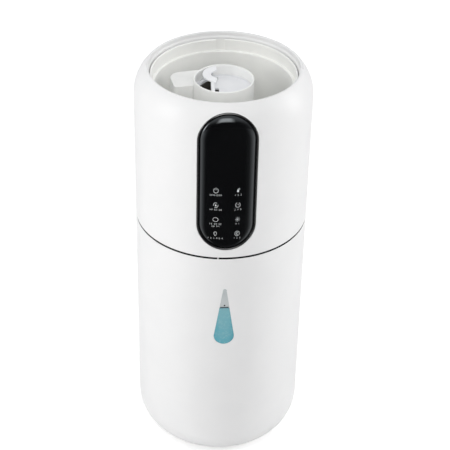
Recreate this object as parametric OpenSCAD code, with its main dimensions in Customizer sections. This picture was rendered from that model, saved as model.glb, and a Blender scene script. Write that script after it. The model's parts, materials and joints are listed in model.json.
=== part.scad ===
// Top-fill cool mist humidifier: a water bucket with a lift-off machine head.
// The origin is the centre of the footprint, +Z is up and the touch panel faces -Y.

/* [Body] */
// Outer radius of the round body
body_r = 85; // [84:0.5:92]
// Radius of the rounded edges at the bottom and the shoulder
fillet_r = 37; // [34:0.5:38]
// Wall of the two white outer shells
body_wall = 2.4; // [2:0.1:2.8]
// Height of the seam between the bucket and the head
seam_z = 266.4; // [256:0.2:284]
// Height at which the shoulder curve would close over the top
dome_z = 438; // [434:0.5:444]
// Height of the open seam between the two shells
seam_gap = 2.1; // [1.4:0.1:2.3]
// Radius of the top opening
mouth_r = 71.2; // [71:0.1:73]
// Radius of the rounded bead round the top opening
bead_r = 1.35; // [1:0.05:1.6]

/* [Bucket] */
// Wall of the inner water tank
tank_wall = 1.8; // [1.5:0.1:2.2]
// Space between the outer shell and the water tank
tank_gap = 0.6; // [0.4:0.1:1]
// Thickness of the bottom plate
plate_t = 2.5; // [2.2:0.1:3]
// Width of the ledge that the bottom plate is screwed to
ledge_w = 10; // [8:0.5:12]
// Radius of a rubber foot
foot_r = 6.5; // [5:0.5:7]
// How far the feet stand below the bottom plate
foot_proud = 1.5; // [1:0.1:2.5]

/* [Level window] */
// Width of the drop-shaped level window
window_w = 20; // [16:0.5:24]
// Height of the level window from its tip to its foot
window_h = 68; // [60:1:80]
// How far the tip of the window lies below the seam
window_drop = 36.1; // [30:0.1:45]
// Radius of the window's blunt tip
window_tip_r = 1.7; // [1:0.1:3]

/* [Touch panel] */
// Width of the touch panel
panel_w = 56; // [50:1:58]
// How far the foot of the panel lies above the seam
panel_rise = 9.8; // [9:0.1:12]
// How far the top of the panel lies below the top of the body
panel_drop = 6.6; // [6:0.1:20]
// Width of the thin frame round the panel
bezel_w = 1.6; // [1.2:0.1:2.4]

/* [Pour basin] */
// Wall of the pour basin
basin_wall = 1.9; // [1.6:0.1:2.2]
// How far the basin's rim lies below the top of the body
rim_drop = 7.2; // [6.5:0.1:9]
// Open gap between the shell's lip and the basin's rim
rim_gap = 0.7; // [0.5:0.1:0.9]
// Depth from the basin's rim to the ledge that carries the lid
lid_step = 11.5; // [10:0.5:14]
// Width of the ledge that carries the lid
lid_ledge = 2.6; // [2:0.1:2.8]
// Height of the room for the works, between the deck and the basin
works_h = 50; // [49:0.5:54]
// Width of the keyway for the lid at the back
keyway_w = 8.5; // [6:0.5:12]
// Radius of the hole through which poured water falls
fill_r = 13; // [10:0.5:13]

/* [Mist tower] */
// Outer radius of the mist tower
tower_r = 28.7; // [27.5:0.1:29]
// Wall of the mist tower and its air duct
tower_wall = 1.6; // [1.4:0.1:1.8]
// How far the tower's rim lies below the basin's rim
tower_drop = 6.5; // [4:0.5:8]
// How far the top of the air duct lies below the tower's rim
duct_drop = 8; // [6:0.5:9]
// How far the splash baffle's plate lies below the tower's rim
baffle_drop = 11; // [9:0.5:13]
// Radius of the finger grip's outer edge on the splash baffle
grip_r = 16.2; // [15:0.2:17]

/* [Atomiser] */
// Radius of the ultrasonic disc
disc_r = 10; // [8:0.5:11]
// Depth of water over the disc, up to the overflow
water_depth = 30; // [26:1:32]
// Outer radius of the level float
float_r = 7.5; // [6.5:0.1:7.8]
// Travel of the level float
float_travel = 14; // [10:1:14]

/* [Fan and pump] */
// Radius of the fan's rotor
fan_r = 15.5; // [14:0.5:16]
// Number of blades on the fan's rotor
fan_blades = 22; // [16:1:26]
// Height of the fan's blades
fan_blade_h = 11; // [8:1:12]
// Outer radius of the lift pump
pump_r = 15; // [14:0.5:17]
// Height of the lift pump's body
pump_h = 30; // [26:1:36]
// Outer radius of the riser pipe
riser_r = 4.5; // [4:0.1:4.6]
// Bore radius of the riser pipe
riser_bore = 3.2; // [2.5:0.1:3.4]

/* [Hidden] */
$fn = 96;

eps = 0.01;          // Overshoot of a cut past the face that it opens
slip = 0.1;          // Clearance of a piece that is pushed into its seat
spin_fit = 0.05;     // Running clearance of a shaft in its bore
apart = 0.3;         // Space kept between pieces that move on each other

// Heights and radii of the bucket
flat_r = body_r - fillet_r;
ledge_r = flat_r - ledge_w;
shell_foot = foot_proud;
ledge_z = shell_foot + plate_t;
ledge_t = body_wall;
tank_foot_h = 1.6;
tank_foot_r = flat_r - 1;
tank_z = ledge_z + ledge_t + tank_foot_h;
tank_floor = tank_z + tank_wall;
lower_top = seam_z - seam_gap / 2;
tank_top = lower_top - seam_gap;
tank_r = body_r - body_wall - tank_gap;
tank_in = tank_r - tank_wall;

// Heights and radii of the head
upper_foot = seam_z + seam_gap / 2;
shell_in = body_r - body_wall;
dome_c = dome_z - fillet_r;
bead_x = mouth_r + bead_r;
bead_z = dome_c + sqrt(pow(fillet_r - bead_r, 2) - pow(bead_x - flat_r, 2));
mouth_z = bead_z + bead_r;
bead_turn = atan2(bead_z - dome_c, bead_x - flat_r);
bead_end = [flat_r + (fillet_r + 1) * cos(bead_turn), dome_c + (fillet_r + 1) * sin(bead_turn)];
rim_z = mouth_z - rim_drop;
lip_t = 1.8;
lip_bevel = 0.8;
lip_in = mouth_r - lip_bevel;
lip_top = rim_z + 3;
lip_z = rim_z - 3;
rim_r = lip_in - rim_gap;
rim_in = rim_r - basin_wall;
lid_z = rim_z - lid_step;
ledge_round = 0.8;
cove_r = 4;
wall_in = rim_in - lid_ledge;
wall_out = wall_in + basin_wall;
seam_recess = 0.4;
edge_chamfer = 0.4;

// The deck that closes the head from below
deck_t = 2.5;
deck_z = upper_foot + deck_t;
under_z = deck_z + works_h;
floor_t = 2;
basin_z = under_z + floor_t;
tower_z = rim_z - tower_drop;
tower_in = tower_r - tower_wall;
duct_z = tower_z - duct_drop;
baffle_z = tower_z - baffle_drop;
deck_r = shell_in - 4 * slip;
spigot_r = tank_in - 4 * slip;
spigot_t = 1.4;
spigot_h = 9;
post_r = 4;
post_at = 62;
post_angles = [-60, -120, 15, 105];
boss_r = 4;
boss_at = shell_in - boss_r - 2.6;
boss_h = 30;
deck_screw_l = 10;
boss_angles = [-30, -150, 60, 120];
screw_r = 1.5;
pilot_r = screw_r + spin_fit;
screw_hole = screw_r + 2 * slip;
head_r = 3;
head_t = 1.2;
screw_at = flat_r - 5;
foot_at = flat_r - 8;
foot_sink = 0.8;

// The touch panel and what lies behind it
panel_z = seam_z + panel_rise;
panel_h = mouth_z - panel_drop - panel_z;
panel_flange = 3;
panel_lip = 1.5;
flange_t = 1.9;
board_y = -(shell_in - 6.1);
board_t = 1.6;
board_w = 44;
holder_t = 1.6;
board_z = deck_z + 12;
board_h = lid_z - 10 - board_z;
key_low = 28.6;
key_pitch = 16;
key_rows = 4;
key_x = 10.5;
key_w = 8;
guide_t = 3;
guide_edge = 2;
display_w = 30;
display_h = 16;
display_t = 3.2;
display_drop = 8;

// Places in the head, seen from above
fill_y = -8;
fill_at = wall_in - cove_r - fill_r - slip;
fill_x = sqrt(pow(fill_at, 2) - pow(fill_y, 2));
pipe_wall = 1.6;
duct_turn = 11;
duct_box = [[-46, 6], [-14, 35.8]];
duct_round = 12;
duct_round_front = 4;
mouth_box = [[-42.4, 12], [-35, 29]];
fan_x = -50;
fan_y = 28;
riser_y = 18;
pump_y = 28;
overflow_y = -17;
float_x = -17.5;
driver_box = [[12, 31], [50, 57]];
driver_post = 6;
driver_post_r = 2.5;
cable_y = 37;
cable_r = 1.8;

// The atomising cup under the tower
cup_wall = 2;
cup_in = tower_in + 0.6;
cup_out = cup_in + cup_wall;
cup_floor_t = 2.5;
overflow_top = under_z - 8;
cup_floor = overflow_top - water_depth;
cup_z = cup_floor - cup_floor_t;
cup_leg_r = 2.5;
seat_depth = 1.7;
seal_w = 2;
clamp_t = 2;
float_pin_r = 2.4;
float_h = 8;
uv_r = 3;
overflow_r = 3.8;
overflow_bore = 2.6;

// The fan
fan_z = deck_z + 16;
fan_plate = 1.5;
fan_h = fan_blade_h + 2 * fan_plate + 4;
scroll_r = fan_r + 2;
scroll_growth = 7.4;
scroll_start = 20;
scroll_wall = 1.4;
fan_inlet = fan_r - 3.5;
motor_r = 7;
motor_h = fan_blade_h - 1;
fan_shaft = 1;
blade_curve = 4;
blade_t = 0.9;
hub_r = motor_r + 1.8;

// The rear intake and the power inlet
grille_w = 46;
grille_h = 22;
grille_z = upper_foot + 24;
slot_h = 1.8;
slot_pitch = 3.4;
slot_count = 6;
filter_t = 5;
jack_z = upper_foot + 12;
jack_w = 10;
jack_h = 11;
jack_nose = 4.4;
jack_bore = 2.8;
jack_pin = 1;

// The pump
strainer_h = 7;
strainer_z = tank_floor + 3;
pump_z = strainer_z + strainer_h;
pump_room_r = 11;
pump_room_h = 9;
pump_vane_h = 5;
pump_pin = 1;
socket_h = 8;

// A closed can with rounded edges, as half of its section
module can_half(r, f, z0, z1) {
    translate([0, z0]) square([r - f, z1 - z0]);
    translate([0, z0 + f]) square([r, z1 - z0 - 2 * f]);
    translate([r - f, z0 + f]) circle(f);
    translate([r - f, z1 - f]) circle(f);
}

// Half section of a ring with a square section
module ring_half(r0, r1, z0, z1) {
    translate([r0, z0]) square([r1 - r0, z1 - z0]);
}

module ring(r0, r1, z0, z1) {
    rotate_extrude() ring_half(r0, r1, z0, z1);
}

module rod(r, z0, z1, x = 0, y = 0) {
    translate([x, y, z0]) cylinder(r = r, h = z1 - z0);
}

// Half section of a ring whose top is fully round
module rim_half(r0, r1, z0, z1) {
    f = (r1 - r0) / 2;
    ring_half(r0, r1, z0, z1 - f);
    translate([r0 + f, z1 - f]) circle(f);
}

// Half section of the corner that is taken off a shell's outer edge at the seam, below or above z
module chamfer_half(z, side) {
    translate([body_r, z])
        polygon([[eps, -eps * side], [eps, side * (edge_chamfer + eps)], [-edge_chamfer - eps, -eps * side]]);
}

// Puts a child at each of the given angles on a circle
module on_circle(at, angles) {
    for (a = angles) rotate([0, 0, a]) translate([at, 0, 0]) children();
}

// The white skin, as half of its section, drawn inwards from the outside by depth
module skin_half(depth) {
    can_half(body_r - depth, fillet_r - depth, shell_foot + depth, dome_z - depth);
}

// The layer of the body between two depths below the outside
module layer(d0, d1) {
    rotate_extrude() difference() {
        skin_half(d0);
        skin_half(d1);
    }
}

// A flat outline pushed through the front or the back wall
module through_front() {
    translate([0, -flat_r, 0]) rotate([90, 0, 0]) linear_extrude(body_r) children();
}

module through_back() {
    translate([0, flat_r + body_r, 0]) rotate([90, 0, 0]) linear_extrude(body_r) children();
}

// A flat outline pushed through the front wall, ending below the lip of the top opening
module below_lip() {
    through_front() intersection() {
        children();
        translate([-body_r, 0]) square([2 * body_r, lip_z - 4]);
    }
}

// Upright slot with round ends, standing on its foot at z0
module obround(w, h, z0) {
    translate([0, z0 + w / 2]) circle(w / 2);
    translate([0, z0 + h - w / 2]) circle(w / 2);
    translate([-w / 2, z0 + w / 2]) square([w, h - w]);
}

// Rectangle whose left back and left front corners are round
module duct_outline(inset) {
    x0 = duct_box[0][0] + inset;
    y0 = duct_box[0][1] + inset;
    x1 = duct_box[1][0] - inset;
    y1 = duct_box[1][1] - inset;
    rb = duct_round - inset;
    rf = duct_round_front - inset;
    translate([x0 + rb, y0]) square([x1 - x0 - rb, y1 - y0]);
    translate([x0, y0 + rf]) square([rb, y1 - y0 - rf - rb]);
    translate([x0 + rf, y0]) square([rb - rf, rf]);
    translate([x0 + rf, y0 + rf]) circle(rf);
    translate([x0 + rb, y1 - rb]) circle(rb);
}

// The drop outline of the level window, moved outwards by extra
module drop(extra) {
    r = window_w / 2 + extra;
    tip_r = window_tip_r + extra;
    tip_z = seam_z - window_drop - window_tip_r;
    round_z = seam_z - window_drop - window_h + window_w / 2;
    lean = asin((r - tip_r) / (tip_z - round_z));
    flank = r - 0.1;
    flank_tip = tip_r - 0.1;
    translate([0, round_z]) circle(r);
    translate([0, tip_z]) circle(tip_r);
    polygon([for (side = [1, -1], end = side > 0 ? [0, 1] : [1, 0])
        let (along = end == 0 ? flank : flank_tip, height = end == 0 ? round_z : tip_z)
            [side * along * cos(lean), height + along * sin(lean)]]);
}

// Pan-head screw with its head's underside at z = 0 and its shank upwards
module screw(length) {
    rod(screw_r, -eps, length);
    rod(head_r, -head_t, 0);
}

// ---- Bucket ----

module lower_shell() {
    color("white") difference() {
        rotate_extrude() {
            difference() {
                skin_half(0);
                skin_half(body_wall);
                square([flat_r, ledge_z]);
                translate([0, lower_top]) square([body_r, dome_z]);
                chamfer_half(lower_top, -1);
            }
            ring_half(ledge_r, flat_r + 4, ledge_z, ledge_z + ledge_t);
        }
        through_front() drop(slip);
        on_circle(screw_at, [0, 90, 180, 270]) rod(pilot_r, ledge_z - eps, ledge_z + ledge_t + eps);
    }
}

module water_tank() {
    depth = body_wall + tank_gap;
    color("gainsboro") rotate_extrude() {
        difference() {
            can_half(tank_r, fillet_r - depth, tank_z, dome_z);
            can_half(tank_in, fillet_r - depth - tank_wall, tank_floor, dome_z);
            translate([0, tank_top]) square([body_r, dome_z]);
        }
        ring_half(tank_foot_r - tank_wall, tank_foot_r, ledge_z + ledge_t, tank_z + eps);
    }
}

module level_window() {
    color("mediumturquoise") intersection() {
        layer(0, body_wall + tank_gap - slip);
        through_front() drop(0);
    }
}

module base_plate() {
    color("whitesmoke") difference() {
        rod(flat_r - apart, shell_foot, ledge_z);
        on_circle(screw_at, [0, 90, 180, 270]) {
            rod(screw_hole, shell_foot - eps, ledge_z + eps);
            rod(head_r + slip, shell_foot - eps, shell_foot + head_t + slip);
        }
        on_circle(foot_at, [45, 135, 225, 315]) rod(foot_r + slip, shell_foot - eps, shell_foot + foot_sink);
    }
}

module base_screws() {
    color("silver") on_circle(screw_at, [0, 90, 180, 270])
        translate([0, 0, shell_foot + head_t + slip]) screw(plate_t);
}

module feet() {
    color("dimgray") on_circle(foot_at, [45, 135, 225, 315]) {
        translate([0, 0, 0]) cylinder(r1 = foot_r - 0.6, r2 = foot_r, h = 0.6);
        rod(foot_r, 0.6, foot_proud + foot_sink);
    }
}

module seam_ring() {
    color("gray") rotate_extrude() {
        ring_half(tank_in, body_r - seam_recess, lower_top, upper_foot);
        ring_half(tank_in, tank_r, tank_top, lower_top + eps);
    }
}

// ---- Head: outer shell and touch panel ----

module upper_shell() {
    color("white") {
        difference() {
            rotate_extrude() {
                difference() {
                    skin_half(0);
                    skin_half(body_wall);
                    square([body_r, upper_foot]);
                    chamfer_half(upper_foot, 1);
                    square([bead_x, dome_z]);
                    polygon([[bead_x, bead_z], bead_end, [bead_end[0], dome_z], [bead_x - 1, dome_z]]);
                }
                translate([bead_x, bead_z]) circle(bead_r);
                difference() {
                    polygon([[mouth_r, bead_z], [mouth_r, lip_top], [lip_in, lip_top - 2 * lip_bevel],
                             [lip_in, lip_z], [mouth_r + lip_t, lip_z], [mouth_r + lip_t, bead_z]]);
                    difference() {
                        square([body_r, dome_z]);
                        skin_half(0);
                    }
                }
            }
            difference() {
                through_front() obround(panel_w + 2 * slip, panel_h + 2 * slip, panel_z - slip);
                rotate_extrude() skin_half(body_wall + eps);
            }
            through_back() translate([-grille_w / 2 - slip, grille_z - slip])
                square([grille_w + 2 * slip, grille_h + 2 * slip]);
            translate([0, flat_r, jack_z]) rotate([-90, 0, 0]) cylinder(r = jack_nose + slip, h = body_r);
        }
        difference() {
            on_circle(boss_at, boss_angles) {
                rod(boss_r, deck_z, deck_z + boss_h);
                translate([0, -1, deck_z]) cube([shell_in - boss_at + 1, 2, boss_h]);
            }
            on_circle(boss_at, boss_angles) rod(pilot_r, deck_z - eps, deck_z + boss_h / 2);
        }
    }
}

module panel_bezel() {
    inset = bezel_w + panel_lip;
    color("black") {
        difference() {
            intersection() {
                layer(0, body_wall);
                through_front() obround(panel_w, panel_h, panel_z);
            }
            through_front() obround(panel_w - 2 * bezel_w, panel_h - 2 * bezel_w, panel_z + bezel_w);
        }
        difference() {
            union() {
                intersection() {
                    layer(body_wall - eps, body_wall + flange_t);
                    below_lip() obround(panel_w, panel_h, panel_z);
                }
                intersection() {
                    layer(body_wall + slip, body_wall + flange_t);
                    below_lip() obround(panel_w + 2 * panel_flange, panel_h + 2 * panel_flange,
                                        panel_z - panel_flange);
                }
            }
            through_front() obround(panel_w - 2 * inset, panel_h - 2 * inset, panel_z + inset);
        }
    }
}

module touch_panel() {
    inset = bezel_w + slip;
    color("black") intersection() {
        layer(0, body_wall - slip);
        through_front() obround(panel_w - 2 * inset, panel_h - 2 * inset, panel_z + inset);
    }
}

module touch_board() {
    socket_w = 12;
    chip_w = 5;
    color("darkgreen") {
        translate([-board_w / 2, board_y, board_z]) cube([board_w, board_t, board_h]);
        translate([-socket_w / 2, board_y + board_t - eps, board_z + 4]) cube([socket_w, 3, 5]);
        for (x = [-12, 0, 12])
            translate([x - chip_w / 2, board_y + board_t - eps, board_z + board_h / 4]) cube([chip_w, 1.2, chip_w]);
    }
}

module display_module() {
    color("ivory") translate([-display_w / 2, board_y - display_t, board_z + board_h - display_drop - display_h])
        cube([display_w, display_t, display_h]);
}

module key_light_guide() {
    low = seam_z + key_low - key_w / 2;
    guide_w = 2 * key_x + key_w + 2 * guide_edge;
    guide_h = (key_rows - 1) * key_pitch + key_w + 2 * guide_edge;
    color("white") difference() {
        translate([-guide_w / 2, board_y - guide_t, low - guide_edge]) cube([guide_w, guide_t, guide_h]);
        for (row = [0 : key_rows - 1], side = [-1, 1])
            translate([side * key_x - key_w / 2, board_y - guide_t - 1, low + row * key_pitch])
                cube([key_w, guide_t + 2, key_w]);
    }
}

// ---- Head: deck and pour basin ----

module head_deck() {
    color("whitesmoke") difference() {
        union() {
            rod(deck_r, upper_foot, deck_z);
            ring(spigot_r - spigot_t, spigot_r, upper_foot - spigot_h, upper_foot + eps);
            on_circle(post_at, post_angles) rod(post_r, upper_foot, under_z);
            for (i = [0, 1], j = [0, 1])
                rod(driver_post_r, upper_foot, deck_z + driver_post,
                    driver_box[i][0] + (1 - 2 * i) * 5, driver_box[j][1] + (1 - 2 * j) * 4);
            translate([-board_w / 2, board_y, upper_foot]) cube([board_w, board_t, board_z - upper_foot]);
            translate([-board_w / 2, board_y + board_t + slip, upper_foot])
                cube([board_w, holder_t, board_z - upper_foot + 3]);
            translate([-board_w / 4, board_y - slip - holder_t, upper_foot])
                cube([board_w / 2, holder_t, board_z - upper_foot + 3]);
        }
        rod(fill_r + apart, upper_foot - spigot_h, deck_z + eps, fill_x, fill_y);
        rod(riser_r + apart, upper_foot - spigot_h, deck_z + eps, 0, riser_y);
        rod(overflow_r + apart, upper_foot - spigot_h, deck_z + eps, 0, overflow_y);
        rod(cable_r + apart, upper_foot - spigot_h, deck_z + eps, 0, cable_y);
        on_circle(boss_at, boss_angles) rod(screw_hole, upper_foot - eps, deck_z + eps);
        on_circle(boss_at, boss_angles) rod(head_r + slip, upper_foot - eps, upper_foot + head_t + slip);
    }
}

module deck_screws() {
    color("silver") on_circle(boss_at, boss_angles)
        translate([0, 0, upper_foot + head_t + slip]) screw(deck_screw_l);
}

module pour_basin() {
    color("lightgray") difference() {
        rotate_extrude() {
            rim_half(rim_in, rim_r, lid_z - basin_wall, rim_z);
            ring_half(wall_in + ledge_round, rim_r, lid_z - basin_wall, lid_z);
            ring_half(wall_in, wall_in + ledge_round + eps, lid_z - basin_wall, lid_z - ledge_round);
            translate([wall_in + ledge_round, lid_z - ledge_round]) circle(ledge_round);
            ring_half(wall_in, wall_out, under_z, lid_z - ledge_round);
            ring_half(tower_r, wall_out, under_z, basin_z);
            difference() {
                ring_half(wall_in - cove_r, wall_in, basin_z, basin_z + cove_r);
                translate([wall_in - cove_r, basin_z + cove_r]) circle(cove_r);
            }
        }
        rod(tower_r + slip, under_z - eps, basin_z + eps);
        rod(fill_r, under_z - eps, basin_z + eps, fill_x, fill_y);
        rotate([0, 0, duct_turn]) translate([mouth_box[0][0], mouth_box[0][1], under_z - eps])
            cube([mouth_box[1][0] - mouth_box[0][0], mouth_box[1][1] - mouth_box[0][1], floor_t + 2 * eps]);
        translate([-keyway_w / 2, rim_in - 5, lid_z]) cube([keyway_w, 6, lid_step + eps]);
    }
}

module fill_pipe() {
    color("whitesmoke") difference() {
        union() {
            rod(fill_r, upper_foot - 6, under_z, fill_x, fill_y);
            rod(fill_r + 2, under_z - floor_t, under_z, fill_x, fill_y);
        }
        rod(fill_r - pipe_wall, upper_foot - 6 - eps, under_z + eps, fill_x, fill_y);
    }
}

// ---- Head: mist tower, duct and baffle ----

module mist_tower() {
    seat_w = 2.3;
    gasket_t = 1;
    port_top = baffle_z - 7;
    color("gainsboro") difference() {
        rotate_extrude() {
            rim_half(tower_in, tower_r, under_z, tower_z);
            ring_half(tower_r - eps, tower_r + 4, basin_z + gasket_t, basin_z + gasket_t + 2);
            ring_half(tower_in - seat_w, tower_in + eps, baffle_z - 5, baffle_z - 3);
        }
        rotate([0, 0, duct_turn]) translate([-tower_r - 5, 9, port_top - 24]) cube([tower_r, 14, 24]);
    }
}

module tower_gasket() {
    color("dimgray") ring(tower_r + slip, tower_r + 4, basin_z, basin_z + 1);
}

module air_duct() {
    color("gainsboro") difference() {
        rotate([0, 0, duct_turn]) difference() {
            translate([0, 0, basin_z]) linear_extrude(duct_z - basin_z) duct_outline(0);
            translate([0, 0, basin_z - eps]) linear_extrude(duct_z - basin_z - tower_wall) duct_outline(tower_wall);
        }
        rod(tower_r + slip, basin_z - eps, duct_z + eps);
        rod(tower_r + 4 + slip, basin_z - eps, basin_z + 3 + slip);
    }
}

module splash_baffle() {
    ring_r = tower_in - apart;
    ring_w = 2.4;
    edge_x = -9.3;
    plate = 1.4;
    lip_w = 1;
    lip_h = 0.8;
    slots = [[[-8.4, -6.2], [-4.5, 0]], [[-7.9, 18], [-4.2, 22.5]]];
    grip_x = -3.4;
    grip_y = 10;
    grip_in = grip_r - 7.8;
    grip_t = 1.4;
    grip_top = tower_z - 0.8;
    grip_edge_x = -6;
    grip_start = -106;
    web_x = -12.4;
    web_t = 3.2;
    web_front_y = -3.5;
    web_back_y = 19;
    color("aliceblue") {
        ring(ring_r - ring_w, ring_r, baffle_z - 3, baffle_z - 1);
        ring(ring_r - lip_w, ring_r, baffle_z - 1 - eps, baffle_z + lip_h);
        difference() {
            intersection() {
                rod(ring_r - 0.8, baffle_z - plate, baffle_z);
                translate([edge_x, -tower_r, baffle_z - 2 * plate]) cube([2 * tower_r, 2 * tower_r, 3 * plate]);
            }
            for (slot = slots) translate([slot[0][0], slot[0][1], baffle_z - 2 * plate])
                cube([slot[1][0] - slot[0][0], slot[1][1] - slot[0][1], 3 * plate]);
        }
        intersection() {
            rod(ring_r - 0.8, baffle_z - 3, baffle_z - plate + eps);
            difference() {
                translate([edge_x, -tower_r, 0]) cube([2 * tower_r, 2 * tower_r, baffle_z]);
                rod(ring_r - ring_w, 0, baffle_z);
            }
        }
        intersection() {
            rod(ring_r - eps, 0, tower_z);
            translate([0, 0, grip_top - grip_t]) linear_extrude(grip_t) difference() {
                translate([grip_x, grip_y]) circle(grip_r);
                translate([grip_x, grip_y]) circle(grip_in);
                translate([grip_x, grip_y]) rotate(grip_start) square(2 * tower_r);
                translate([grip_edge_x, -2 * tower_r]) square(4 * tower_r);
            }
        }
        intersection() {
            rod(ring_r - 0.2, baffle_z - 3, grip_top - grip_t + 0.1);
            union() {
                translate([web_x, -tower_r, 0]) cube([web_t, tower_r + web_front_y, tower_z]);
                translate([web_x, web_back_y, 0]) cube([web_t, tower_r, tower_z]);
            }
        }
    }
}

// ---- Head: atomiser ----

module atomiser_cup() {
    color("whitesmoke") difference() {
        union() {
            ring(cup_in, cup_out, cup_z, under_z);
            ring(cup_in + 0.5, cup_out + 3, under_z - 2, under_z);
            rod(cup_in + 0.5, cup_z, cup_floor);
            rod(overflow_r, upper_foot - 6, overflow_top, 0, overflow_y);
            rod(float_pin_r, cup_floor - eps, cup_floor + float_h + float_travel + 2, float_x, 0);
            on_circle(cup_out - cup_leg_r - 0.5, [-60, -120, 0, 180]) rod(cup_leg_r, deck_z, cup_z + 1);
        }
        rod(disc_r - 1.5, cup_z - eps, cup_floor + eps);
        rod(disc_r + seal_w + slip, cup_z - eps, cup_z + seat_depth);
        rod(overflow_bore, upper_foot - 7, overflow_top + eps, 0, overflow_y);
        rod(riser_r + slip, cup_z - eps, cup_floor + eps, 0, riser_y);
        translate([cup_in - 3, 0, overflow_top - 6]) rotate([0, 90, 0]) cylinder(r = uv_r + slip, h = 10);
    }
}

module transducer_disc() {
    color("silver") rod(disc_r, cup_z, cup_z + seat_depth - slip);
}

module transducer_seal() {
    color("dimgray") ring(disc_r + slip, disc_r + seal_w, cup_z, cup_z + seat_depth);
}

module transducer_clamp() {
    color("goldenrod") difference() {
        rod(disc_r + seal_w + 0.9, cup_z - clamp_t, cup_z);
        rod(disc_r - 3, cup_z - clamp_t - eps, cup_z + eps);
    }
}

module level_float() {
    color("orange") ring_float();
}

module ring_float() {
    translate([float_x, 0, 0]) ring(float_pin_r + apart, float_r, cup_floor + apart, cup_floor + apart + float_h);
}

module uv_lamp() {
    color("violet") translate([cup_in - 1, 0, overflow_top - 6]) rotate([0, 90, 0]) {
        cylinder(r = uv_r, h = 7);
        translate([0, 0, cup_wall + 1 + slip]) cylinder(r = uv_r + 1.5, h = 2);
    }
}

// ---- Head: fan ----

// Scroll of the fan: its radius grows steadily round the rotor
function scroll(grow, steps = 48) =
    [for (i = [0 : steps]) let (t = i / steps, a = scroll_start + 360 * t, r = scroll_r + grow + scroll_growth * t)
        [r * cos(a), r * sin(a)]];

module chimney_outline(inset) {
    translate([mouth_box[0][0] + inset, mouth_box[0][1] + inset])
        square([mouth_box[1][0] - mouth_box[0][0] - 2 * inset, mouth_box[1][1] - mouth_box[0][1] - 2 * inset]);
}

module fan_housing() {
    color("dimgray") difference() {
        union() {
            translate([fan_x, fan_y, fan_z]) linear_extrude(fan_h) polygon(scroll(scroll_wall));
            translate([0, 0, fan_z + fan_h - eps]) linear_extrude(under_z - fan_z - fan_h + eps)
                rotate(duct_turn) chimney_outline(0);
            translate([fan_x, fan_y, 0]) on_circle(scroll_r - 1, [60, 180, 300]) rod(2.2, deck_z, fan_z + eps);
        }
        translate([fan_x, fan_y, fan_z + fan_plate]) linear_extrude(fan_h - 2 * fan_plate) polygon(scroll(0));
        translate([0, 0, fan_z + fan_h - 2 * fan_plate]) linear_extrude(under_z)
            rotate(duct_turn) chimney_outline(scroll_wall);
        rod(fan_inlet, fan_z - eps, fan_z + fan_plate + eps, fan_x, fan_y);
    }
}

module fan_motor() {
    top = fan_z + fan_h - fan_plate;
    color("silver") {
        rod(motor_r, top - motor_h, top, fan_x, fan_y);
        rod(fan_shaft, fan_z + fan_plate + 1, top, fan_x, fan_y);
    }
}

module fan_impeller() {
    foot = fan_z + fan_plate + 1.5;
    color("lightslategray") translate([fan_x, fan_y, 0]) {
        difference() {
            rod(hub_r, foot, foot + fan_blade_h);
            rod(motor_r + 0.8, foot + 1.5, foot + fan_blade_h + eps);
            rod(fan_shaft + spin_fit, foot - eps, foot + 2);
        }
        ring(hub_r - 0.5, fan_r, foot, foot + 1.2);
        ring(fan_r - 1.2, fan_r, foot + fan_blade_h - 1, foot + fan_blade_h);
        for (i = [0 : fan_blades - 1]) rotate([0, 0, 360 * i / fan_blades])
            translate([fan_r - blade_curve - 0.4, -1.5, foot + 0.6]) linear_extrude(fan_blade_h - 1.1)
                intersection() {
                    difference() {
                        circle(blade_curve);
                        circle(blade_curve - blade_t);
                    }
                    square(blade_curve);
                }
    }
}

// ---- Head: electrics and air intake ----

module driver_board() {
    size = driver_box[1] - driver_box[0];
    capacitor_r = 4.5;
    capacitor_h = 13;
    coil = [10, 18, 10];
    plug = [5, 14, 6];
    color("darkgreen") translate([driver_box[0][0], driver_box[0][1], deck_z + driver_post]) {
        cube([size[0], size[1], board_t]);
        for (y = [5, 17]) rod(capacitor_r, board_t - eps, board_t + capacitor_h, 8, y);
        translate([18, 3, board_t - eps]) cube(coil);
        translate([size[0] - plug[0] - 2, 5, board_t - eps]) cube(plug);
    }
}

module dc_jack() {
    y_in = shell_in - 14;
    color("black") difference() {
        union() {
            translate([-jack_w / 2, y_in, jack_z - jack_h / 2]) cube([jack_w, 13, jack_h]);
            translate([0, y_in + 12, jack_z]) rotate([-90, 0, 0]) cylinder(r = jack_nose, h = body_r - 0.6 - y_in - 12);
            translate([-jack_w / 2, y_in, deck_z]) cube([jack_w, 10, jack_z - deck_z]);
        }
        difference() {
            translate([0, body_r - 11, jack_z]) rotate([-90, 0, 0]) cylinder(r = jack_bore, h = 12);
            translate([0, body_r - 12, jack_z]) rotate([-90, 0, 0]) cylinder(r = jack_pin, h = 10);
        }
    }
}

module intake_grille() {
    color("whitesmoke") difference() {
        union() {
            intersection() {
                layer(0, body_wall);
                through_back() translate([-grille_w / 2, grille_z]) square([grille_w, grille_h]);
            }
            intersection() {
                layer(body_wall + slip, body_wall + flange_t);
                difference() {
                    through_back() translate([-grille_w / 2 - 2, grille_z - 2]) square([grille_w + 4, grille_h + 4]);
                    through_back() translate([-grille_w / 2 + 3, grille_z + 2]) square([grille_w - 6, grille_h - 4]);
                }
            }
            for (x = [-1, 1]) intersection() {
                layer(body_wall - eps, body_wall + flange_t);
                through_back() translate([x * (grille_w / 2 - 1) - 1, grille_z]) square([2, grille_h]);
            }
        }
        for (i = [0 : slot_count - 1]) through_back()
            translate([-grille_w / 2 + 4, grille_z + (grille_h - (slot_count - 1) * slot_pitch - slot_h) / 2 + i * slot_pitch])
                square([grille_w - 8, slot_h]);
    }
}

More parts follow.
